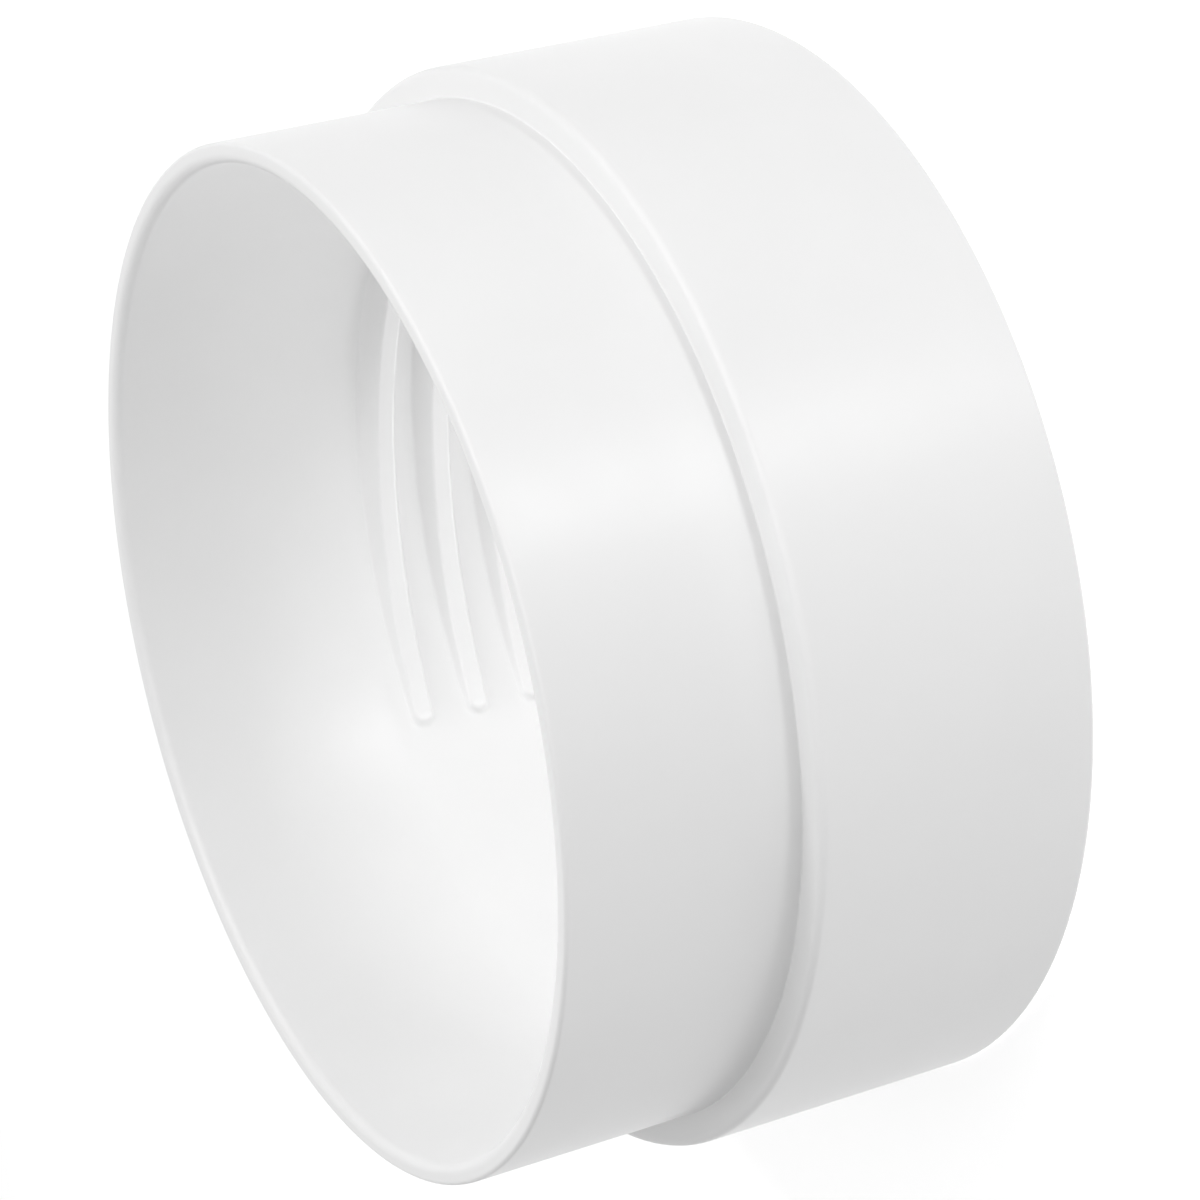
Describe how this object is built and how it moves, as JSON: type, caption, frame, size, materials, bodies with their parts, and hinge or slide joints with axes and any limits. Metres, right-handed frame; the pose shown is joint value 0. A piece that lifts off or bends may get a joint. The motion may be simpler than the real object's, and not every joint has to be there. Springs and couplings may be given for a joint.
{
  "type": "dryer vent adapter",
  "caption": "Short stepped plastic tube that joins a dryer's flexible hose to a rigid vent pipe, with a plain narrow end and a broken thread inside the wide end.",
  "frame": {"origin": "on the tube's axis, in the plane of the wide end's rim, which it stands on", "axes": "+Z along the tube's axis from the wide end to the narrow mouth; +Y lies 35 degrees anticlockwise of the middle of the rib nearest the narrow bore"},
  "size_m": [0.1134, 0.1134, 0.0555],
  "materials": {
    "white_plastic": "moulded, satin to gloss"
  },
  "bodies": {
    "root": {"adapter_body": "white_plastic"}
  },
  "joints": []
}
